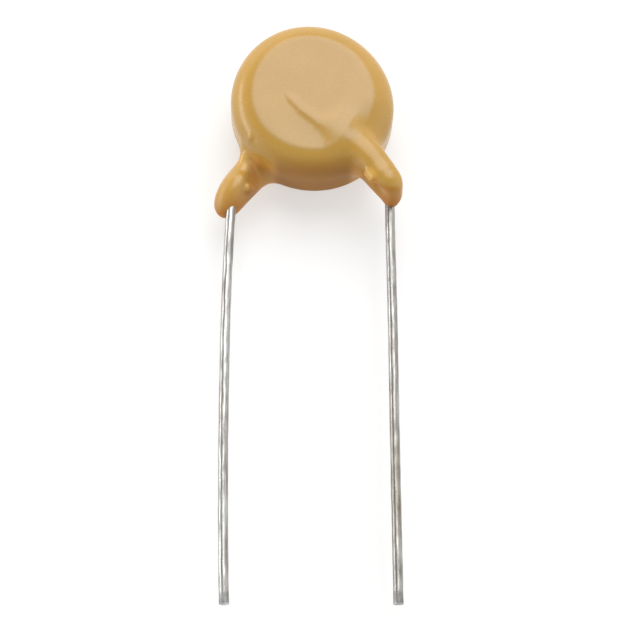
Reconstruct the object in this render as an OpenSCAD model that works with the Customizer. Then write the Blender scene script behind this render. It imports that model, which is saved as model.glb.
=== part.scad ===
// Leaded single-layer ceramic disc capacitor, lying on its rear face.
// +Z is up, out of the front face. The two leads point along -Y.
// The origin is midway between the two leads, at the lowest point of the
// coating's run-down, which is the plane a circuit board would come up to.

/* [Coating] */
// Diameter of the coated disc
body_d = 10.2; // [9.8:0.1:11.4]
// Thickness of the coated disc between its flat faces
body_t = 4.8; // [4.8:0.1:5.6]
// Radius of the rounded rim
rim_r = 1.6; // [1.2:0.1:1.9]
// Distance from the seating plane up to the centre of the disc
body_y = 7.38; // [7.2:0.02:7.6]
// Sideways offset of the disc from the middle of the leads
body_x = 0.2; // [0:0.05:0.3]
// How far the right leg's end stays above the seating plane
right_leg_up = 0.86; // [0.8:0.02:0.9]
// Height of the ridge that each lead raises on its flat face
ridge_up = 0.07; // [0.04:0.01:0.1]

/* [Leads] */
// Diameter of the tinned wire
lead_d = 0.6; // [0.5:0.05:0.65]
// Distance between the two leads
lead_pitch = 10; // [9.9:0.1:10.1]
// Length of the leads below the seating plane
lead_len = 24.2; // [5:0.1:35]

/* [Inside] */
// Diameter of the ceramic disc
ceramic_d = 8.2; // [7.8:0.1:8.3]
// Thickness of the ceramic disc
ceramic_t = 2.8; // [2.6:0.1:2.8]
// Diameter of the silver electrodes
electrode_d = 7.6; // [7:0.1:7.7]
// Thickness of each silver electrode
electrode_t = 0.05; // [0.03:0.01:0.06]
// Solder film between an electrode and its lead
solder_film = 0.05; // [0.04:0.01:0.06]

/* [Hidden] */
$fn = 64;

lead_r = lead_d / 2;
half_t = body_t / 2;
face_z = ceramic_t / 2;                        // face of the ceramic
elec_z = face_z + electrode_t;                 // face of the electrode
wire_z = elec_z + solder_film + lead_r;        // axis of a lead on its electrode

// A lead's corner points, from its inner end on the electrode, over the
// ceramic's rim, down to the elbow at the board pitch, and to its cut end.
front_path = [
    [body_x - 1.5, body_y + 0.12, wire_z],
    [body_x + 2.69, body_y - 3.65, wire_z],
    [lead_pitch / 2, right_leg_up + 1.27, 0],
    [lead_pitch / 2, -lead_len, 0]
];
rear_path = [
    [body_x + 1.2, body_y + 0.12, -wire_z],
    [body_x - 2.95, body_y - 3.65, -wire_z],
    [-lead_pitch / 2, 1.25, 0],
    [-lead_pitch / 2, -lead_len, 0]
];
rim_bend = 1.2;        // bend radius where a lead leaves the ceramic
front_elbow = 2.0;     // bend radius at the front lead's elbow
rear_elbow = 2.3;      // bend radius at the rear lead's elbow
bend_swell = 1.015;    // a bent wire is a touch fatter than a straight one
lap = 0.06;            // how far a straight run reaches into a bend

// Coating round each lead, as centre points with a radius: it swells over the
// ceramic's rim and narrows towards the wire at the end of the leg.
front_leg = [
    [body_x + 2.30, body_y - 3.13, 1.45, 0.95],
    [body_x + 3.38, body_y - 3.78, 1.15, 1.04],
    [lead_pitch / 2 - 0.32, right_leg_up + 1.54, 0.56, 1.00],
    [lead_pitch / 2 + 0.10, right_leg_up + 0.66, 0.08, 0.66]
];
rear_leg = [
    [body_x - 2.60, body_y - 3.08, -1.45, 0.95],
    [body_x - 3.72, body_y - 3.78, -1.15, 1.08],
    [0.45 - lead_pitch / 2, 2.02, -0.56, 1.05],
    [-lead_pitch / 2, 0.98, -0.08, 0.80]
];
front_tip = [lead_pitch / 2, right_leg_up, 0];
rear_tip = [-lead_pitch / 2, 0, 0];
tip_skin = 0.12;       // coating round the wire where the wire leaves it

function unit(v) = v / norm(v);
function at(ball) = [ball[0], ball[1], ball[2]];
// direction of a lead across its electrode
function across(path) = unit(path[1] - path[0]);
// length of straight wire that a bend at corner b takes up
function used(a, b, c, bend) = bend * tan(acos(unit(b - a) * unit(c - b)) / 2);

// Stands its children on a, pointing at b
module along(a, b) {
    d = b - a;
    translate(a)
        rotate([0, acos(d[2] / norm(d)), atan2(d[1], d[0])])
            children();
}

// Straight round bar of radius r from a to b
module bar(a, b, r) {
    along(a, b) cylinder(h = norm(b - a), r = r);
}

// Part of a torus between two straight runs that would meet at corner b
module bend(a, b, c, bend, r) {
    u = unit(b - a);
    v = unit(c - b);
    turn = acos(u * v);
    n = unit(v - (u * v) * u);
    w = cross(u, n);
    o = b - u * bend * tan(turn / 2) + n * bend;
    multmatrix([
        [-n[0], u[0], w[0], o[0]],
        [-n[1], u[1], w[1], o[1]],
        [-n[2], u[2], w[2], o[2]],
        [0, 0, 0, 1]
    ])
        rotate_extrude(angle = turn) translate([bend, 0]) circle(r = r);
}

// Bent wire along four corner points
module wire(p, elbow) {
    t1 = used(p[0], p[1], p[2], rim_bend) - lap;
    t2 = used(p[1], p[2], p[3], elbow) - lap;
    u1 = unit(p[1] - p[0]);
    u2 = unit(p[2] - p[1]);
    u3 = unit(p[3] - p[2]);
    bar(p[0], p[1] - u1 * t1, lead_r);
    bend(p[0], p[1], p[2], rim_bend, lead_r * bend_swell);
    bar(p[1] + u2 * t1, p[2] - u2 * t2, lead_r);
    bend(p[1], p[2], p[3], elbow, lead_r * bend_swell);
    bar(p[2] + u3 * t2, p[3], lead_r);
}

module front_lead() {
    color("silver") wire(front_path, front_elbow);
}

module rear_lead() {
    color("silver") wire(rear_path, rear_elbow);
}

// Pressed and fired ceramic, with its edges lightly broken
module ceramic_disc() {
    r = ceramic_d / 2;
    e = 0.12;
    color("saddlebrown")
        translate([body_x, body_y, 0])
            rotate_extrude()
                polygon([
                    [0, -face_z], [r - e, -face_z], [r, -face_z + e],
                    [r, face_z - e], [r - e, face_z], [0, face_z]
                ]);
}

// Silver fired on to one face of the ceramic
module electrode(z) {
    color("gainsboro")
        translate([body_x, body_y, z])
            cylinder(h = electrode_t, d = electrode_d);
}

module front_electrode() {
    electrode(face_z);
}

module rear_electrode() {
    electrode(-elec_z);
}

// Round mound along a lead, tapered at both ends
module mound(path, side) {
    u = unit([across(path)[0], across(path)[1], 0]);
    a = [path[0][0], path[0][1], side * (elec_z + 0.10)] - u * 0.45;
    along(a, a + u)
        rotate_extrude()
            polygon([
                [0, 0], [0.36, 0], [0.62, 0.45],
                [0.62, 4.65], [0.36, 5.1], [0, 5.1]
            ]);
}

// The half space beyond z on one side, as wide as the part
module beyond(z, side) {
    translate([body_x - 6, body_y - 6, side > 0 ? z : -z - 3])
        cube([12, 12, 3]);
}

// Solder round the part of a lead that lies on its electrode: a low mound,
// flat on the silver
module solder(path, side) {
    color("darkgray")
        difference() {
            intersection() {
                mound(path, side);
                beyond(elec_z, side);
            }
            // the wire, cut out past both ends of the mound
            bar(path[0], path[0] + across(path) * 6, lead_r);
        }
}

module front_solder() {
    solder(front_path, 1);
}

module rear_solder() {
    solder(rear_path, -1);
}

// Coated disc: flat faces and a round rim
module round_body() {
    x = body_d / 2 - rim_r;
    z = half_t - rim_r;
    translate([body_x, body_y, 0])
        rotate_extrude() {
            translate([0, -half_t]) square([x, body_t]);
            translate([0, -z]) square([body_d / 2, 2 * z]);
            for (s = [-1, 1])
                intersection() {
                    translate([x, s * z]) circle(r = rim_r);
                    translate([0, s > 0 ? z : -half_t])
                        square([body_d / 2, rim_r]);
                }
        }
}

// Coating drawn down round one lead. Each ball is joined to the next by a
// cone that meets it just inside its widest circle, and the last cone closes
// in on the wire.
module leg(balls, tip) {
    s = 0.985;
    last = len(balls) - 1;
    for (i = [0 : last]) {
        a = at(balls[i]);
        b = i < last ? at(balls[i + 1]) : tip;
        translate(a) sphere(r = balls[i][3]);
        along(a, b)
            cylinder(
                h = norm(b - a),
                r1 = balls[i][3] * s,
                r2 = i < last ? balls[i + 1][3] * s : lead_r + tip_skin
            );
    }
}

// Low ridge over the lead on a flat face
module ridge(path) {
    r = half_t + ridge_up - wire_z;
    a = path[0] - across(path) * 0.15;
    translate(a) sphere(r = r);
    bar(a, path[0] + across(path) * 5, r * 0.985);
}

// Everything that the coating closes in. The pieces are sunk a little into
// each other, so that they are cut out of it as one.
module inside() {
    ceramic_disc();
    for (side = [-1, 1])
        translate([body_x, body_y, side > 0 ? face_z - 0.2 : -elec_z])
            cylinder(h = electrode_t + 0.2, d = electrode_d);
    intersection() {
        mound(front_path, 1);
        beyond(face_z - 0.1, 1);
    }
    intersection() {
        mound(rear_path, -1);
        beyond(face_z - 0.1, -1);
    }
    wire(front_path, front_elbow);
    wire(rear_path, rear_elbow);
}

module coating() {
    color("goldenrod")
        difference() {
            union() {
                round_body();
                ridge(front_path);
                ridge(rear_path);
                leg(front_leg, front_tip);
                leg(rear_leg, rear_tip);
            }
            inside();
        }
}

coating();
ceramic_disc();
front_electrode();
rear_electrode();
front_lead();
rear_lead();
front_solder();
rear_solder();
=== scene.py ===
import math

import bpy
import numpy as np
from mathutils import Matrix, Vector


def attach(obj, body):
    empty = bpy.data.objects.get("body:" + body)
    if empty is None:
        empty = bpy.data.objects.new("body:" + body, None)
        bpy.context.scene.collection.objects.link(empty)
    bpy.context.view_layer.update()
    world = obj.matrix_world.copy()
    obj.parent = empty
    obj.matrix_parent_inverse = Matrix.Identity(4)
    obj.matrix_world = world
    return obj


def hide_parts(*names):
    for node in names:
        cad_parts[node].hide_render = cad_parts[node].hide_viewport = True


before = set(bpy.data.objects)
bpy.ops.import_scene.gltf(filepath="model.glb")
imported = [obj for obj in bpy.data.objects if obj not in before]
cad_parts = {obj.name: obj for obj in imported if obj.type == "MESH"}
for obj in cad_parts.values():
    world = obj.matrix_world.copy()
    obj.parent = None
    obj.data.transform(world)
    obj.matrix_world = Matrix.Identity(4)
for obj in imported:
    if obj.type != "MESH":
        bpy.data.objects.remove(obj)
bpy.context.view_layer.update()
MM = 0.001

# --------------------------------------------------------------------------
# Camera: looks down on the part from the side of its leads
# --------------------------------------------------------------------------
CAM_AT = Vector((-2.65, -54.02, 137.98)) * MM
CAM_RIGHT = Vector((0.99974, -0.00472, 0.02239)).normalized()
CAM_FWD = Vector((0.02271, 0.32478, -0.94552)).normalized()
CAM_UP = CAM_RIGHT.cross(CAM_FWD).normalized()
FOCAL_PX = 2396.3          # focal length in pixels of the 640 x 640 frame


def make_camera():
    data = bpy.data.cameras.new("camera")
    data.sensor_width = 36.0
    data.sensor_fit = "HORIZONTAL"
    data.lens = FOCAL_PX / 640.0 * 36.0
    data.clip_start = 0.005
    data.clip_end = 20.0
    cam = bpy.data.objects.new("camera", data)
    right = CAM_FWD.cross(CAM_UP).normalized()
    m = Matrix((
        (right.x, CAM_UP.x, -CAM_FWD.x, CAM_AT.x),
        (right.y, CAM_UP.y, -CAM_FWD.y, CAM_AT.y),
        (right.z, CAM_UP.z, -CAM_FWD.z, CAM_AT.z),
        (0, 0, 0, 1),
    ))
    cam.matrix_world = m
    bpy.context.scene.collection.objects.link(cam)
    bpy.context.scene.camera = cam
    return cam


# --------------------------------------------------------------------------
# Coating: one signed distance field, in millimetres, meshed on a grid
# --------------------------------------------------------------------------
DISC_X, DISC_Y = 0.217, 7.378
DISC_R, HALF_T, RIM_R = 5.11, 2.383, 1.6


def smin(a, b, k):
    """Smooth union of two distances."""
    h = np.clip(0.5 + 0.5 * (b - a) / k, 0.0, 1.0)
    return b * (1.0 - h) + a * h - k * h * (1.0 - h)


def smax(a, b, k):
    return -smin(-a, -b, k)


def spline(points, per=8):
    """Catmull-Rom through rows of numbers."""
    a = np.array(points, float)
    e = np.vstack([2 * a[0] - a[1], a, 2 * a[-1] - a[-2]])
    out = []
    for i in range(len(a) - 1):
        p0, p1, p2, p3 = e[i:i + 4]
        for t in np.linspace(0.0, 1.0, per, endpoint=False):
            out.append(0.5 * (2 * p1 + (p2 - p0) * t
                              + (2 * p0 - 5 * p1 + 4 * p2 - p3) * t * t
                              + (3 * p1 - p0 - 3 * p2 + p3) * t ** 3))
    out.append(a[-1])
    return np.array(out)


def tube(p, path):
    """Distance to a chain of tapering segments, x y z r."""
    d = np.full(len(p), 1e3)
    for a, b in zip(path[:-1], path[1:]):
        ab = b[:3] - a[:3]
        t = np.clip((p - a[:3]) @ ab / (ab @ ab), 0.0, 1.0)
        q = np.linalg.norm(p - a[:3] - t[:, None] * ab, axis=1)
        d = np.minimum(d, q - (a[3] + (b[3] - a[3]) * t))
    return d


def block(p, centre, face, along, half, r):
    """Distance to a block with rounded edges, one side of it square to face."""
    q = p - centre
    q = np.abs(np.stack([q @ along, q @ np.cross(face, along), q @ face], 1)) - (half - r)
    return np.linalg.norm(np.maximum(q, 0), axis=1) + np.minimum(q.max(1), 0) - r


def near(p, path, reach):
    lo = path[:, :3].min(0) - path[:, 3].max() - reach
    hi = path[:, :3].max(0) + path[:, 3].max() + reach
    return np.all((p > lo) & (p < hi), axis=1)


def ramp01(t):
    t = np.clip(t, 0.0, 1.0)
    return t * t * (3 - 2 * t)


def crest(x, y, line, rows):
    """Height of the welt over a buried wire: along is the x it has reached, rows hold x, height, half width."""
    best = np.full(len(x), 1e3)
    at = np.zeros(len(x))
    over = np.zeros(len(x), bool)
    for a, b in zip(line[:-1], line[1:]):
        ab = b - a
        t = np.clip(((x - a[0]) * ab[0] + (y - a[1]) * ab[1]) / (ab @ ab), 0, 1)
        q = np.hypot(x - a[0] - t * ab[0], y - a[1] - t * ab[1])
        closer = q < best
        best = np.where(closer, q, best)
        at = np.where(closer, a[0] + t * ab[0], at)
        over = np.where(closer, ab[0] * (y - a[1]) - ab[1] * (x - a[0]) > 0, over)
    rows = np.array(rows)
    height = np.interp(at, rows[:, 0], rows[:, 1])
    # the welt falls away steeply below and runs out gently above
    width = np.interp(at, rows[:, 0], rows[:, 2]) * np.where(over, 1.25, 1.0)
    return height * np.exp(-(best / width) ** 2)


WELT_FRONT = np.array([(-1.34, 7.24), (-0.45, 6.25), (0.60, 5.47), (1.55, 5.10), (2.25, 4.64), (3.10, 3.85), (3.9, 3.1)])
WELT_REAR = np.array([(-1.75, 7.60), (-0.40, 6.36), (0.70, 5.55), (1.70, 5.02), (2.50, 4.50), (3.20, 3.9), (3.9, 3.2)])
WELT_ROWS = [(-1.34, 0.03, 0.16), (-1.1, 0.07, 0.24), (-0.2, 0.09, 0.31), (0.45, 0.10, 0.36),
             (0.9, 0.14, 0.55), (1.5, 0.21, 1.00), (2.1, 0.26, 1.15), (3.0, 0.17, 1.10), (3.9, 0.0, 1.05)]


def disc(p):
    x, y, z = p[:, 0] - DISC_X, p[:, 1] - DISC_Y, p[:, 2]
    rho = np.hypot(x, y)
    phi = np.arctan2(y, x)
    # a dipped disc isn't quite round, and its faces are slightly crowned
    r = (DISC_R + 0.088 * np.cos(2 * phi + math.radians(108))
         + 0.035 * np.cos(3 * phi + math.radians(72)))
    h = HALF_T + 0.06 * (0.5 - np.clip(rho / DISC_R, 0, 1) ** 2)
    front = z > 0
    px, py = p[front, 0], p[front, 1]
    h[front] += crest(px, py, WELT_FRONT, WELT_ROWS)
    # the coat draws thin in the corner beside the front lead
    out = np.clip(px - 2.3, 0.0, 1.2)
    h[front] -= 0.26 * out * out / (out + 0.4) * ramp01((7.2 - py) / 2.4)
    back = ~front
    px, py = -p[back, 0], p[back, 1]
    h[back] += crest(px, py, WELT_REAR, WELT_ROWS)
    h[back] -= 0.16 * ramp01((px - 2.9) / 1.4) * ramp01((6.2 - py) / 1.2)
    qx = rho - (r - RIM_R)
    qz = np.abs(z) - (h - RIM_R)
    return (np.hypot(np.maximum(qx, 0), np.maximum(qz, 0))
            + np.minimum(np.maximum(qx, qz), 0) - RIM_R)


FRONT_LEG = spline([
    (2.75, 4.30, 1.02, 0.88),
    (3.47, 3.60, 1.04, 1.02),
    (4.06, 2.93, 1.00, 1.00),
    (4.58, 2.26, 0.90, 0.93),
    (4.98, 1.70, 0.50, 0.74),
    (5.10, 1.38, 0.22, 0.50),
    (5.08, 1.16, 0.04, 0.24),
])
# the flatter crest of the same leg, to its outer side: heights are stretched by FLAT
FLAT = 1.8
FRONT_CREST = spline([
    (2.50, 4.72, 1.86, 0.72),
    (3.07, 4.13, 2.04, 0.82),
    (3.70, 3.47, 2.10, 0.84),
    (4.19, 2.80, 2.10, 0.82),
    (4.61, 2.17, 2.12, 0.80),
    (5.03, 1.64, 1.99, 0.69),
    (5.21, 1.29, 0.90, 0.50),
    (5.12, 1.06, 0.12, 0.26),
]) * np.array([1.0, 1.0, FLAT, 1.0])
REAR_LEG = spline([
    (-2.70, 4.60, -1.30, 0.98),
    (-3.52, 3.55, -1.22, 1.08),
    (-4.45, 2.13, -0.46, 1.05),
    (-5.03, 1.10, -0.38, 0.83),
    (-5.12, 0.59, -0.30, 0.44),
])
# the narrow crest along the top of that leg
REAR_CREST = spline([
    (-4.08, 3.15, -0.36, 0.55),
    (-4.24, 2.72, -0.14, 0.62),
    (-4.42, 2.20, 0.04, 0.68),
    (-4.82, 1.40, -0.10, 0.62),
    (-5.05, 0.95, -0.40, 0.45),
])
# small runs and lumps left in the coat where the legs join it: x y z at both ends, radius, blend
RUNS = [
    (-3.38, 4.90, 1.47, -3.38, 4.86, 1.46, 0.50, 0.10),
    (-3.70, 4.70, 0.28, -3.98, 3.46, -0.04, 0.42, 0.45),
    (-3.82, 1.92, 0.27, -3.87, 1.84, 0.26, 0.30, 0.10),
    (-3.58, 1.96, 0.06, -3.63, 1.88, 0.05, 0.27, 0.08),
]
# one flat-sided lump on the inner flank of the front leg: centre, face direction, long direction
LUMP_AT = np.array([3.788, 2.078, 1.978])
LUMP_FACE = np.array([-0.635, -0.325, 0.70])
LUMP_ALONG = np.array([0.584, -0.796, 0.159])
LUMP_HALF = np.array([0.42, 0.27, 0.26])


def coating_sdf(p):
    d = disc(p)
    for path, k in ((FRONT_LEG, 0.9), (REAR_LEG, 0.95), (REAR_CREST, 0.35)):
        m = near(p, path, k + 0.3)
        if m.any():
            d[m] = smin(d[m], tube(p[m], path), k)
    q = p * np.array([1.0, 1.0, FLAT])
    m = near(q, FRONT_CREST, 1.2)
    if m.any():
        d[m] = smin(d[m], tube(q[m], FRONT_CREST), 0.5)
    for run in RUNS:
        ends = np.array([(*run[0:3], run[6]), (*run[3:6], run[6])])
        m = near(p, ends, 0.6)
        if m.any():
            d[m] = smin(d[m], tube(p[m], ends), run[7])
    m = np.linalg.norm(p - LUMP_AT, axis=1) < 1.0
    if m.any():
        d[m] = smin(d[m], block(p[m], LUMP_AT, LUMP_FACE, LUMP_ALONG, LUMP_HALF, 0.16), 0.25)
    return d


def gradient(f, p, e=0.004):
    g = np.empty_like(p)
    for i in range(3):
        o = np.zeros(3)
        o[i] = e
        g[:, i] = f(p + o) - f(p - o)
    g /= 2 * e
    return g


def surface_net(f, lo, hi, step):
    """Quads on the zero surface of f, one vertex in each grid cell that it crosses."""
    n = np.ceil((np.array(hi) - np.array(lo)) / step).astype(int) + 1
    axes = [lo[i] + step * np.arange(n[i]) for i in range(3)]
    d = np.empty(n)
    yz = np.stack(np.meshgrid(axes[1], axes[2], indexing="ij"), -1).reshape(-1, 2)
    block = 8
    for i in range(0, n[0], block):
        xs = axes[0][i:i + block]
        p = np.concatenate([np.column_stack([np.full(len(yz), x), yz]) for x in xs])
        d[i:i + block] = f(p).reshape(len(xs), n[1], n[2])
    inside = d < 0
    corner = [(i, j, k) for i in (0, 1) for j in (0, 1) for k in (0, 1)]

    def part(a, c):
        return a[c[0]:n[0] - 1 + c[0], c[1]:n[1] - 1 + c[1], c[2]:n[2] - 1 + c[2]]

    count = sum(part(inside, c).astype(int) for c in corner)
    active = (count > 0) & (count < 8)
    cells = np.argwhere(active)
    index = np.full(active.shape, -1)
    index[active] = np.arange(len(cells))
    total = np.zeros((len(cells), 3))
    hits = np.zeros(len(cells))
    for a in corner:
        for axis in range(3):
            if a[axis]:
                continue
            b = tuple(1 if k == axis else a[k] for k in range(3))
            da, db = part(d, a)[active], part(d, b)[active]
            m = (da < 0) != (db < 0)
            t = np.where(m, da / np.where(m, da - db, 1.0), 0.0)
            q = np.array(a, float)[None].repeat(len(cells), 0)
            q[:, axis] += t
            total += q * m[:, None]
            hits += m
    verts = np.array(lo) + (cells + total / hits[:, None]) * step
    quads = []
    for axis in range(3):
        u, v = (axis + 1) % 3, (axis + 2) % 3
        s = [slice(1, -1)] * 3
        s[axis] = slice(0, -1)
        t = [slice(1, -1)] * 3
        t[axis] = slice(1, None)
        one, two = inside[tuple(s)], inside[tuple(t)]
        e = np.argwhere(one != two)
        e[:, u] += 1
        e[:, v] += 1
        du = np.zeros(3, int)
        dv = np.zeros(3, int)
        du[u], dv[v] = 1, 1
        ids = [index[tuple((e - o).T)] for o in (0 * du, du, du + dv, dv)]
        q = np.stack(ids, 1)
        first = e.copy()
        out = inside[tuple(first.T)]
        q[~out] = q[~out][:, ::-1]
        quads.append(q)
    return verts, np.concatenate(quads)


def settle(f, v, quads, rounds=6):
    """Moves vertices on to the surface and evens them out along it."""
    edges = np.concatenate([quads[:, [i, (i + 1) % 4]] for i in range(4)])
    edges = np.unique(np.sort(edges, 1), axis=0)
    deg = np.bincount(edges.ravel(), minlength=len(v)).astype(float)
    for r in range(rounds):
        g = gradient(f, v)
        n = g / np.linalg.norm(g, axis=1, keepdims=True)
        v = v - n * np.clip(f(v) / np.maximum(np.linalg.norm(g, axis=1), 0.3), -0.05, 0.05)[:, None]
        if r < rounds - 2:
            s = np.zeros_like(v)
            np.add.at(s, edges[:, 0], v[edges[:, 1]])
            np.add.at(s, edges[:, 1], v[edges[:, 0]])
            move = s / deg[:, None] - v
            move -= (move * n).sum(1, keepdims=True) * n
            v = v + 0.5 * move
    return v


def mesh_object(name, verts_mm, faces, material):
    me = bpy.data.meshes.new(name)
    me.from_pydata((np.asarray(verts_mm) * MM).tolist(), [], [tuple(map(int, f)) for f in faces])
    me.validate()
    me.update()
    me.polygons.foreach_set("use_smooth", [True] * len(me.polygons))
    ob = bpy.data.objects.new(name, me)
    bpy.context.scene.collection.objects.link(ob)
    me.materials.append(material)
    return ob


def make_coating(material):
    step = 0.08
    v, q = surface_net(coating_sdf, (-6.3, -0.9, -2.95), (6.5, 13.0, 2.95), step)
    v = settle(coating_sdf, v, q)
    return mesh_object("epoxy_coating", v, q, material)


# --------------------------------------------------------------------------
# Leads: drawn wire, swept along a slightly bowed path, sheared at the end
# --------------------------------------------------------------------------
WIRE_R = 0.3


def sweep_frame(path):
    t = np.gradient(path, axis=0)
    t /= np.linalg.norm(t, axis=1, keepdims=True)
    side = np.cross(t, np.array([0.0, 0.0, 1.0]))
    side /= np.linalg.norm(side, axis=1, keepdims=True)
    up = np.cross(side, t)
    return t, side, up


def even(path, step):
    s = np.concatenate([[0], np.cumsum(np.linalg.norm(np.diff(path, axis=0), axis=1))])
    u = np.linspace(0, s[-1], int(s[-1] / step) + 1)
    return np.column_stack([np.interp(u, s, path[:, i]) for i in range(3)]), u


def make_lead(name, controls, seed, material):
    rng = np.random.default_rng(seed)
    path, s = even(spline(controls, 24), 0.11)
    # ease the corners of the resampled path
    for _ in range(3):
        path[1:-1] = 0.25 * path[:-2] + 0.5 * path[1:-1] + 0.25 * path[2:]
    t, side, up = sweep_frame(path)
    sides = 32
    a = np.arange(sides) * 2 * math.pi / sides
    n = len(path)
    # faint flats and waves from drawing and handling
    dr = np.zeros((n, sides))
    for _ in range(14):
        w, k = rng.uniform(0.8, 5.0), rng.integers(1, 4)
        dr += (rng.uniform(0.0008, 0.0030)
               * np.sin(2 * math.pi * s[:, None] / w + rng.uniform(0, 6.3))
               * np.cos(k * a[None] + rng.uniform(0, 6.3)))
    r = WIRE_R * np.ones((n, sides)) + dr
    end = s[-1] - s
    # the cutter's pinch, flattening the last stretch a little
    pinch = np.clip(1 - end / 0.8, 0, 1) ** 2
    x = np.cos(a)[None] * r * (1 + 0.02 * pinch[:, None])
    y = np.sin(a)[None] * r * (1 - 0.08 * pinch[:, None])
    rings = path[:, None] + side[:, None] * x[..., None] + up[:, None] * y[..., None]
    verts = rings.reshape(-1, 3)
    faces = []
    for i in range(n - 1):
        for j in range(sides):
            k = (j + 1) % sides
            faces.append((i * sides + j, (i + 1) * sides + j, (i + 1) * sides + k, i * sides + k))
    extra = []

    def close(ring, centre, direction, depths):
        """Rounds the wire off with rings of (inset, rise), then a fan."""
        nonlocal faces
        prev = [ring * sides + j for j in range(sides)]
        base = len(verts) + len(extra)
        for inset, rise in depths:
            pts = centre + (rings[ring] - centre) * (1 - inset) + direction * rise
            ids = list(range(len(verts) + len(extra), len(verts) + len(extra) + sides))
            extra.extend(pts)
            for j in range(sides):
                k = (j + 1) % sides
                f = (prev[j], ids[j], ids[k], prev[k])
                faces.append(f if ring else f[::-1])
            prev = ids
        tip = len(verts) + len(extra)
        extra.append(centre + direction * (depths[-1][1] + 0.004))
        for j in range(sides):
            k = (j + 1) % sides
            f = (prev[j], tip, prev[k])
            faces.append(f if ring else f[::-1])

    close(n - 1, path[-1], t[-1], [(0.03, 0.012), (0.09, 0.02), (0.5, 0.02), (0.8, 0.022)])
    close(0, path[0], -t[0], [(0.06, 0.015), (0.2, 0.03), (0.6, 0.03)])
    verts = np.concatenate([verts, np.array(extra)])
    return mesh_object(name, verts, faces, material)


FRONT_WIRE = [
    (-1.30, 7.50, 1.80), (0.80, 5.61, 1.80), (2.30, 4.26, 1.80), (2.95, 3.66, 1.72),
    (3.70, 3.10, 1.12), (4.50, 2.45, 0.45), (4.90, 1.85, 0.10), (5.01, 1.20, 0.01),
    (5.03, 0.40, 0.0), (5.03, -0.60, 0.0), (5.05, -2.70, 0.0), (5.08, -5.00, 0.0),
    (5.10, -8.0, 0.0), (5.11, -11.5, 0.0), (5.12, -14.5, 0.0), (5.14, -18.2, 0.0),
    (5.165, -21.5, 0.0), (5.18, -24.2, 0.0),
]
REAR_WIRE = [
    (1.40, 7.50, -1.80), (-0.80, 5.48, -1.80), (-2.20, 4.19, -1.80), (-2.90, 3.55, -1.70),
    (-3.70, 2.72, -1.00), (-4.35, 1.98, -0.40), (-4.69, 1.35, -0.08), (-4.78, 0.80, 0.0),
    (-4.83, 0.10, 0.0), (-4.88, -0.60, 0.0), (-4.965, -2.70, 0.0), (-5.05, -5.20, 0.0),
    (-5.11, -8.0, 0.0), (-5.145, -11.5, 0.0), (-5.16, -14.5, 0.0), (-5.14, -18.2, 0.0),
    (-5.10, -21.3, 0.0), (-5.04, -24.2, 0.0),
]


# --------------------------------------------------------------------------
# Materials
# --------------------------------------------------------------------------
def new_material(name):
    m = bpy.data.materials.new(name)
    m.use_nodes = True
    nt = m.node_tree
    bsdf = next(n for n in nt.nodes if n.type == "BSDF_PRINCIPLED")
    return m, nt, bsdf


def add(nt, kind, **settings):
    n = nt.nodes.new(kind)
    for k, v in settings.items():
        if k in n.inputs:
            n.inputs[k].default_value = v
        else:
            setattr(n, k, v)
    return n


def ramp(nt, stops):
    r = nt.nodes.new("ShaderNodeValToRGB")
    e = r.color_ramp.elements
    while len(e) < len(stops):
        e.new(0.5)
    for el, (pos, col) in zip(e, stops):
        el.position = pos
        el.color = (*col, 1.0)
    return r


def smooth_range(nt, value, at_zero, at_one):
    r = add(nt, "ShaderNodeMapRange", interpolation_type="SMOOTHSTEP")
    low, high = (at_zero, at_one) if at_zero < at_one else (at_one, at_zero)
    r.inputs["From Min"].default_value = low
    r.inputs["From Max"].default_value = high
    r.inputs["To Min"].default_value = 0.0 if at_zero < at_one else 1.0
    r.inputs["To Max"].default_value = 1.0 if at_zero < at_one else 0.0
    nt.links.new(value, r.inputs["Value"])
    return r


def mix_rgb(nt, blend, fac, one, two):
    """Mixes two colours; the second may be a plain one."""
    m = nt.nodes.new("ShaderNodeMix")
    m.data_type = "RGBA"
    m.blend_type = blend
    nt.links.new(fac, m.inputs[0])
    nt.links.new(one, m.inputs[6])
    if isinstance(two, tuple):
        m.inputs[7].default_value = (*two, 1.0)
    else:
        nt.links.new(two, m.inputs[7])
    return m.outputs[2]


def painted_sheen_spot(nt, co, colour, centre, outer, inner, tint):
    """Paints a sheen, a paler tint, around one place on the surface."""
    away = add(nt, "ShaderNodeVectorMath", operation="DISTANCE")
    nt.links.new(co.outputs["Object"], away.inputs[0])
    away.inputs[1].default_value = centre
    here = smooth_range(nt, away.outputs["Value"], outer, inner)
    return mix_rgb(nt, "MULTIPLY", here.outputs["Result"], colour, tint)


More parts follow.
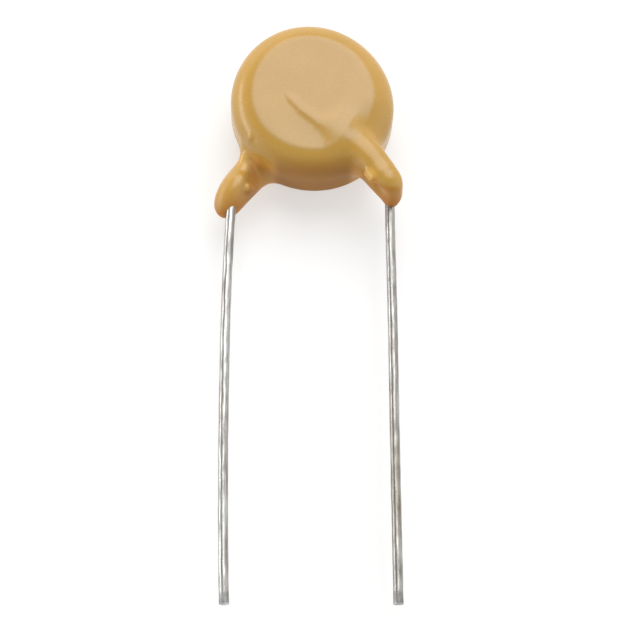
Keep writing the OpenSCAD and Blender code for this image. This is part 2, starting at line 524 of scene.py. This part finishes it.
def epoxy_material():
    m, nt, b = new_material("ochre_epoxy")
    co = nt.nodes.new("ShaderNodeTexCoord")
    big = add(nt, "ShaderNodeTexNoise", Scale=380.0, Detail=2.0, Roughness=0.5)
    peel = add(nt, "ShaderNodeTexNoise", Scale=900.0, Detail=1.0, Roughness=0.4)
    fine = add(nt, "ShaderNodeTexNoise", Scale=4200.0, Detail=2.0, Roughness=0.5)
    for n in (big, peel, fine):
        nt.links.new(co.outputs["Object"], n.inputs["Vector"])
    tint = ramp(nt, [(0.3, (0.430, 0.242, 0.043)), (0.55, (0.450, 0.254, 0.047)), (0.75, (0.470, 0.266, 0.051))])
    nt.links.new(big.outputs["Fac"], tint.inputs["Fac"])
    # painted shade: the coat is painted browner towards the lead exits, and darker and browner on the low wall, which
    # is also made duller
    place_xyz = nt.nodes.new("ShaderNodeSeparateXYZ")
    nt.links.new(co.outputs["Object"], place_xyz.inputs["Vector"])
    up = add(nt, "ShaderNodeMath", operation="MAXIMUM")
    nt.links.new(place_xyz.outputs["Z"], up.inputs[0])
    up.inputs[1].default_value = 0.0
    along = add(nt, "ShaderNodeMath", operation="MULTIPLY_ADD")
    nt.links.new(up.outputs["Value"], along.inputs[0])
    along.inputs[1].default_value = 0.8
    nt.links.new(place_xyz.outputs["Y"], along.inputs[2])
    tips = smooth_range(nt, along.outputs["Value"], 0.0030, 0.0008)
    # painted shade: browner towards the lead exits
    tip_shaded = mix_rgb(nt, "MULTIPLY", tips.outputs["Result"], tint.outputs["Color"], (0.97, 0.84, 0.72))
    rough = ramp(nt, [(0.25, (0.24,) * 3), (0.75, (0.29,) * 3)])
    nt.links.new(fine.outputs["Fac"], rough.inputs["Fac"])
    shift = add(nt, "ShaderNodeMath", operation="SUBTRACT")
    nt.links.new(place_xyz.outputs["X"], shift.inputs[0])
    shift.inputs[1].default_value = 0.0003
    aside = add(nt, "ShaderNodeMath", operation="ABSOLUTE")
    nt.links.new(shift.outputs["Value"], aside.inputs[0])
    middle = smooth_range(nt, aside.outputs["Value"], 0.00265, 0.0020)
    low_wall = smooth_range(nt, along.outputs["Value"], 0.0052, 0.0036)
    shade_and_dull = add(nt, "ShaderNodeMath", operation="MULTIPLY")
    nt.links.new(low_wall.outputs["Result"], shade_and_dull.inputs[0])
    nt.links.new(middle.outputs["Result"], shade_and_dull.inputs[1])
    # painted shade on the low wall: darker and browner
    brown = mix_rgb(nt, "MULTIPLY", shade_and_dull.outputs["Value"], tip_shaded, (0.82, 0.64, 0.45))
    # painted shade: the same darker, browner colour on the side of each leg that faces down the leads, away from the
    # lamp overhead; that side is also made duller
    shape = nt.nodes.new("ShaderNodeNewGeometry")
    facing = nt.nodes.new("ShaderNodeSeparateXYZ")
    nt.links.new(shape.outputs["Normal"], facing.inputs["Vector"])
    shaded_side = smooth_range(nt, facing.outputs["Y"], -0.35, -0.80)
    shift_legs = add(nt, "ShaderNodeMath", operation="ADD")
    nt.links.new(place_xyz.outputs["X"], shift_legs.inputs[0])
    shift_legs.inputs[1].default_value = 0.00015
    aside_legs = add(nt, "ShaderNodeMath", operation="ABSOLUTE")
    nt.links.new(shift_legs.outputs["Value"], aside_legs.inputs[0])
    legs_only = smooth_range(nt, aside_legs.outputs["Value"], 0.0032, 0.0036)
    legs_low = add(nt, "ShaderNodeMath", operation="MULTIPLY")
    nt.links.new(legs_only.outputs["Result"], legs_low.inputs[0])
    # painted light: the corner between a leg and the low wall is painted a little brighter and redder
    beside = smooth_range(nt, aside.outputs["Value"], 0.0020, 0.00265)
    corner = add(nt, "ShaderNodeMath", operation="MULTIPLY")
    nt.links.new(beside.outputs["Result"], corner.inputs[0])
    nt.links.new(low_wall.outputs["Result"], corner.inputs[1])
    off_leg = smooth_range(nt, aside_legs.outputs["Value"], 0.0036, 0.0032)
    corner_only = add(nt, "ShaderNodeMath", operation="MULTIPLY")
    nt.links.new(corner.outputs["Value"], corner_only.inputs[0])
    nt.links.new(off_leg.outputs["Result"], corner_only.inputs[1])
    brown = mix_rgb(nt, "MULTIPLY", corner_only.outputs["Value"], brown, (1.22, 1.04, 0.95))
    nt.links.new(low_wall.outputs["Result"], legs_low.inputs[1])
    leg_side = add(nt, "ShaderNodeMath", operation="MULTIPLY")
    nt.links.new(legs_low.outputs["Value"], leg_side.inputs[0])
    nt.links.new(shaded_side.outputs["Result"], leg_side.inputs[1])
    # painted shade on the side of each leg facing away from the lamp
    brown = mix_rgb(nt, "MULTIPLY", leg_side.outputs["Value"], brown, (1.03, 0.80, 0.46))
    # painted shade: the hollow between the rear leg and the body is painted darker and browner where it faces inwards
    inward = smooth_range(nt, facing.outputs["X"], 0.25, 0.60)
    hollow_shade = inward.outputs["Result"]
    for axis, outer, inner in (("X", -0.0030, -0.0034), ("Y", 0.0041, 0.0034), ("Y", 0.0011, 0.0018)):
        edge = smooth_range(nt, place_xyz.outputs[axis], outer, inner)
        both = add(nt, "ShaderNodeMath", operation="MULTIPLY")
        nt.links.new(hollow_shade, both.inputs[0])
        nt.links.new(edge.outputs["Result"], both.inputs[1])
        hollow_shade = both.outputs["Value"]
    brown = mix_rgb(nt, "MULTIPLY", hollow_shade, brown, (0.78, 0.75, 0.95))
    # painted sheen: paler spots where the rim runs on to the rear leg, and on the lump of the front one
    brown = painted_sheen_spot(nt, co, brown, (-0.00375, 0.00362, 0.00048), 0.00095, 0.0003, (1.36, 1.42, 1.95))
    brown = painted_sheen_spot(nt, co, brown, (0.0038, 0.00205, 0.0020), 0.00075, 0.0003, (1.34, 1.33, 1.32))
    # painted reflection: the up-facing flat face is painted a little paler and greyer than the rim, like the sheen of
    # the lamp overhead, more so towards the leads
    flat = smooth_range(nt, facing.outputs["Z"], 0.95, 0.99)
    across = add(nt, "ShaderNodeVectorMath", operation="DISTANCE")
    nt.links.new(co.outputs["Object"], across.inputs[0])
    across.inputs[1].default_value = (0.0002, 0.0074, 0.0024)
    inside = smooth_range(nt, across.outputs["Value"], 0.0044, 0.0038)
    face = add(nt, "ShaderNodeMath", operation="MULTIPLY")
    nt.links.new(flat.outputs["Result"], face.inputs[0])
    nt.links.new(inside.outputs["Result"], face.inputs[1])
    brown = mix_rgb(nt, "MULTIPLY", face.outputs["Value"], brown, (0.95, 0.985, 1.40))
    # the painted reflection is darker and greyer towards the leads
    face_low = smooth_range(nt, place_xyz.outputs["Y"], 0.0070, 0.0044)
    lower_face = add(nt, "ShaderNodeMath", operation="MULTIPLY")
    nt.links.new(face.outputs["Value"], lower_face.inputs[0])
    nt.links.new(face_low.outputs["Result"], lower_face.inputs[1])
    brown = mix_rgb(nt, "MULTIPLY", lower_face.outputs["Value"], brown, (0.95, 0.985, 1.0))
    nt.links.new(brown, b.inputs["Base Color"])
    duller = add(nt, "ShaderNodeMath", operation="MULTIPLY_ADD")
    nt.links.new(shade_and_dull.outputs["Value"], duller.inputs[0])
    duller.inputs[1].default_value = 0.35
    nt.links.new(rough.outputs["Color"], duller.inputs[2])
    softer = add(nt, "ShaderNodeMath", operation="MULTIPLY_ADD")
    nt.links.new(leg_side.outputs["Value"], softer.inputs[0])
    softer.inputs[1].default_value = 0.22
    corner_soft = add(nt, "ShaderNodeMath", operation="MULTIPLY_ADD")
    nt.links.new(corner_only.outputs["Value"], corner_soft.inputs[0])
    corner_soft.inputs[1].default_value = 0.20
    nt.links.new(duller.outputs["Value"], corner_soft.inputs[2])
    nt.links.new(corner_soft.outputs["Value"], softer.inputs[2])
    soft_tips = add(nt, "ShaderNodeMath", operation="MULTIPLY_ADD")
    nt.links.new(tips.outputs["Result"], soft_tips.inputs[0])
    soft_tips.inputs[1].default_value = 0.16
    nt.links.new(softer.outputs["Value"], soft_tips.inputs[2])
    nt.links.new(soft_tips.outputs["Value"], b.inputs["Roughness"])
    bump = add(nt, "ShaderNodeBump", Strength=0.16, Distance=0.00001)
    nt.links.new(peel.outputs["Fac"], bump.inputs["Height"])
    nt.links.new(bump.outputs["Normal"], b.inputs["Normal"])
    b.inputs["IOR"].default_value = 1.5
    return m


def wire_material():
    m, nt, b = new_material("tinned_wire")
    co = nt.nodes.new("ShaderNodeTexCoord")
    # die lines: fine round the wire, long along it
    mapping = add(nt, "ShaderNodeMapping")
    mapping.inputs["Scale"].default_value = (1.0, 0.035, 1.0)
    nt.links.new(co.outputs["Object"], mapping.inputs["Vector"])
    lines = add(nt, "ShaderNodeTexNoise", Scale=11000.0, Detail=3.0, Roughness=0.65)
    nt.links.new(mapping.outputs["Vector"], lines.inputs["Vector"])
    # the tin's own patches, a few tenths of a millimetre wide and longer along the wire
    patch_map = add(nt, "ShaderNodeMapping")
    patch_map.inputs["Scale"].default_value = (1.0, 0.22, 1.0)
    nt.links.new(co.outputs["Object"], patch_map.inputs["Vector"])
    patches = add(nt, "ShaderNodeTexNoise", Scale=3600.0, Detail=3.0, Roughness=0.6)
    nt.links.new(patch_map.outputs["Vector"], patches.inputs["Vector"])
    both = add(nt, "ShaderNodeMath", operation="MULTIPLY_ADD")
    nt.links.new(lines.outputs["Fac"], both.inputs[0])
    both.inputs[1].default_value = 0.45
    scaled = add(nt, "ShaderNodeMath", operation="MULTIPLY")
    nt.links.new(patches.outputs["Fac"], scaled.inputs[0])
    scaled.inputs[1].default_value = 0.55
    nt.links.new(scaled.outputs["Value"], both.inputs[2])
    tint = ramp(nt, [(0.38, (0.25, 0.243, 0.230)), (0.5, (0.42, 0.415, 0.400)), (0.60, (0.52, 0.516, 0.505))])
    nt.links.new(both.outputs["Value"], tint.inputs["Fac"])
    # slow changes along the wire, from handling: a little warmer and darker here and there
    slow_map = add(nt, "ShaderNodeMapping")
    slow_map.inputs["Scale"].default_value = (0.5, 0.10, 0.5)
    nt.links.new(co.outputs["Object"], slow_map.inputs["Vector"])
    slow = add(nt, "ShaderNodeTexNoise", Scale=2200.0, Detail=1.0, Roughness=0.5)
    nt.links.new(slow_map.outputs["Vector"], slow.inputs["Vector"])
    warm = smooth_range(nt, slow.outputs["Fac"], 0.46, 0.66)
    toned = mix_rgb(nt, "MULTIPLY", warm.outputs["Result"], tint.outputs["Color"], (0.80, 0.76, 0.71))
    # the right-hand lead is a little darker than the other
    place_xyz = nt.nodes.new("ShaderNodeSeparateXYZ")
    nt.links.new(co.outputs["Object"], place_xyz.inputs["Vector"])
    right_one = smooth_range(nt, place_xyz.outputs["X"], -0.001, 0.001)
    toned = mix_rgb(nt, "MULTIPLY", right_one.outputs["Result"], toned, (0.84, 0.83, 0.815))
    # the stretch scuffed by the cutter is dull, and the sheared face bright
    scuff = smooth_range(nt, place_xyz.outputs["Y"], -0.02335, -0.02365)
    dulled = mix_rgb(nt, "MULTIPLY", scuff.outputs["Result"], toned, (0.72, 0.72, 0.73))
    sheared = smooth_range(nt, place_xyz.outputs["Y"], -0.02413, -0.02418)
    final = mix_rgb(nt, "MULTIPLY", sheared.outputs["Result"], dulled, (1.85, 1.84, 1.82))
    nt.links.new(final, b.inputs["Base Color"])
    rough = ramp(nt, [(0.35, (0.42,) * 3), (0.6, (0.28,) * 3)])
    nt.links.new(both.outputs["Value"], rough.inputs["Fac"])
    scuffed = add(nt, "ShaderNodeMath", operation="MULTIPLY_ADD")
    nt.links.new(scuff.outputs["Result"], scuffed.inputs[0])
    scuffed.inputs[1].default_value = 0.18
    nt.links.new(rough.outputs["Color"], scuffed.inputs[2])
    nt.links.new(scuffed.outputs["Value"], b.inputs["Roughness"])
    bump = add(nt, "ShaderNodeBump", Strength=0.5, Distance=0.000008)
    nt.links.new(both.outputs["Value"], bump.inputs["Height"])
    nt.links.new(bump.outputs["Normal"], b.inputs["Normal"])
    b.inputs["Metallic"].default_value = 1.0
    return m


def speckled(name, low, high, scale, rough, metallic, bump_strength):
    m, nt, b = new_material(name)
    co = nt.nodes.new("ShaderNodeTexCoord")
    n = add(nt, "ShaderNodeTexNoise", Scale=scale, Detail=5.0, Roughness=0.65)
    nt.links.new(co.outputs["Object"], n.inputs["Vector"])
    tint = ramp(nt, [(0.3, low), (0.7, high)])
    nt.links.new(n.outputs["Fac"], tint.inputs["Fac"])
    nt.links.new(tint.outputs["Color"], b.inputs["Base Color"])
    r = ramp(nt, [(0.25, (rough[0],) * 3), (0.75, (rough[1],) * 3)])
    nt.links.new(n.outputs["Fac"], r.inputs["Fac"])
    nt.links.new(r.outputs["Color"], b.inputs["Roughness"])
    bump = add(nt, "ShaderNodeBump", Strength=bump_strength, Distance=0.00003)
    nt.links.new(n.outputs["Fac"], bump.inputs["Height"])
    nt.links.new(bump.outputs["Normal"], b.inputs["Normal"])
    b.inputs["Metallic"].default_value = metallic
    return m


# --------------------------------------------------------------------------
# Stage
# --------------------------------------------------------------------------
def make_floor(z):
    me = bpy.data.meshes.new("floor")
    s = 1.5
    me.from_pydata([(-s, -s, z), (s, -s, z), (s, s, z), (-s, s, z)], [], [(0, 1, 2, 3)])
    ob = bpy.data.objects.new("floor", me)
    bpy.context.scene.collection.objects.link(ob)
    m, nt, b = new_material("pale_floor")
    # a table top that glows softly, painted light that keeps the shadow faint
    b.inputs["Base Color"].default_value = (0.45, 0.45, 0.45, 1)
    b.inputs["Roughness"].default_value = 0.9
    b.inputs["Specular IOR Level"].default_value = 0.1
    b.inputs["Emission Color"].default_value = (1.0, 0.995, 0.985, 1)
    # its glow is stronger far away, where the lamps don't reach
    co = nt.nodes.new("ShaderNodeTexCoord")
    away = add(nt, "ShaderNodeVectorMath", operation="LENGTH")
    nt.links.new(co.outputs["Object"], away.inputs[0])
    far = smooth_range(nt, away.outputs["Value"], 0.25, 0.9)
    glow = add(nt, "ShaderNodeMath", operation="MULTIPLY_ADD")
    nt.links.new(far.outputs["Result"], glow.inputs[0])
    glow.inputs[1].default_value = 0.5
    glow.inputs[2].default_value = 0.52
    nt.links.new(glow.outputs["Value"], b.inputs["Emission Strength"])
    me.materials.append(m)
    return ob


def area_light(name, at, look, size, power, color=(1, 1, 1)):
    d = bpy.data.lights.new(name, "AREA")
    d.shape = "RECTANGLE"
    d.size, d.size_y = size
    d.energy = power
    d.color = color
    ob = bpy.data.objects.new(name, d)
    at, look = Vector(at), Vector(look)
    ob.location = at
    ob.rotation_euler = (look - at).to_track_quat("-Z", "Y").to_euler()
    bpy.context.scene.collection.objects.link(ob)
    return ob


def place(distance, azimuth, elevation):
    """A point at that distance from the disc; azimuth 0 is +Y, 90 is +X."""
    a, e = math.radians(azimuth), math.radians(elevation)
    return (distance * math.sin(a) * math.cos(e),
            0.005 + distance * math.cos(a) * math.cos(e),
            distance * math.sin(e))


# the room round the part, as soft patches of light: elevation, azimuth, strength
ROOM = [
    (8, 0, 1.45), (8, 30, 1.25), (8, 60, 0.85), (8, 90, 1.2), (27, 95, 0.7), (8, 120, 1.15),
    (8, 240, 1.2), (8, 270, 1.7), (8, 300, 0.7), (8, 330, 1.8),
    (30, 33, 0.6), (30, 65, 0.7), (30, 131, 0.4), (30, 196, 0.6), (30, 262, 1.1),
    (30, 295, 0.4), (30, 327, 0.5),
    (52, 45, 1.0), (47, 90, 0.7), (52, 135, 1.4), (52, 225, 0.6), (52, 270, 0.15),
]


def make_room():
    w = bpy.data.worlds.new("studio")
    w.use_nodes = True
    nt = w.node_tree
    bg = next(n for n in nt.nodes if n.type == "BACKGROUND")
    bg.inputs["Color"].default_value = (1, 1, 1, 1)
    co = nt.nodes.new("ShaderNodeTexCoord")
    total = None
    for el, az, strength in ROOM:
        e, a = math.radians(el), math.radians(az)
        dot = add(nt, "ShaderNodeVectorMath", operation="DOT_PRODUCT")
        dot.inputs[1].default_value = (math.sin(a) * math.cos(e), math.cos(a) * math.cos(e), math.sin(e))
        nt.links.new(co.outputs["Generated"], dot.inputs[0])
        slope = add(nt, "ShaderNodeMath", operation="MULTIPLY_ADD")
        slope.inputs[1].default_value = 23.0
        slope.inputs[2].default_value = -23.0
        nt.links.new(dot.outputs["Value"], slope.inputs[0])
        bell = add(nt, "ShaderNodeMath", operation="EXPONENT")
        nt.links.new(slope.outputs["Value"], bell.inputs[0])
        part = add(nt, "ShaderNodeMath", operation="MULTIPLY_ADD")
        part.inputs[1].default_value = strength
        nt.links.new(bell.outputs["Value"], part.inputs[0])
        if total is None:
            part.inputs[2].default_value = 0.02
        else:
            nt.links.new(total.outputs["Value"], part.inputs[2])
        total = part
    nt.links.new(total.outputs["Value"], bg.inputs["Strength"])
    bpy.context.scene.world = w


def make_lights():
    c = (0.0, 0.005, 0.0)
    # large soft box overhead, behind the part
    area_light("top_softbox", place(0.6, 5.4, 57), c, (0.473, 0.534), 3.05)
    # long low window to the left
    area_light("left_strip", place(0.6, -82, 11), c, (0.62, 0.16), 1.2)
    make_room()


# --------------------------------------------------------------------------
# Build
# --------------------------------------------------------------------------
epoxy = epoxy_material()
tin = wire_material()

coating = make_coating(epoxy)
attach(coating, "root")
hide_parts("coating")

front = make_lead("front_wire", FRONT_WIRE, 3, tin)
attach(front, "root")
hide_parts("front_lead")

rear = make_lead("rear_wire", REAR_WIRE, 8, tin)
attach(rear, "root")
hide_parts("rear_lead")

ceramic = speckled("fired_ceramic", (0.24, 0.13, 0.07), (0.36, 0.21, 0.12), 6000.0, (0.55, 0.8), 0.0, 0.3)
silver = speckled("fired_silver", (0.66, 0.65, 0.61), (0.80, 0.79, 0.75), 9000.0, (0.35, 0.55), 1.0, 0.25)
solder = speckled("soft_solder", (0.46, 0.46, 0.46), (0.66, 0.66, 0.65), 2500.0, (0.22, 0.45), 1.0, 0.3)
for node, material in (("ceramic_disc", ceramic), ("front_electrode", silver),
                       ("rear_electrode", silver), ("front_solder", solder),
                       ("rear_solder", solder)):
    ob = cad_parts[node]
    ob.data.materials.clear()
    ob.data.materials.append(material)

low = min(v.co.z for v in coating.data.vertices)
make_floor(low)
make_lights()
make_camera()

scene = bpy.context.scene
scene.view_settings.view_transform = "Standard"
scene.view_settings.look = "None"
scene.view_settings.exposure = 0.0
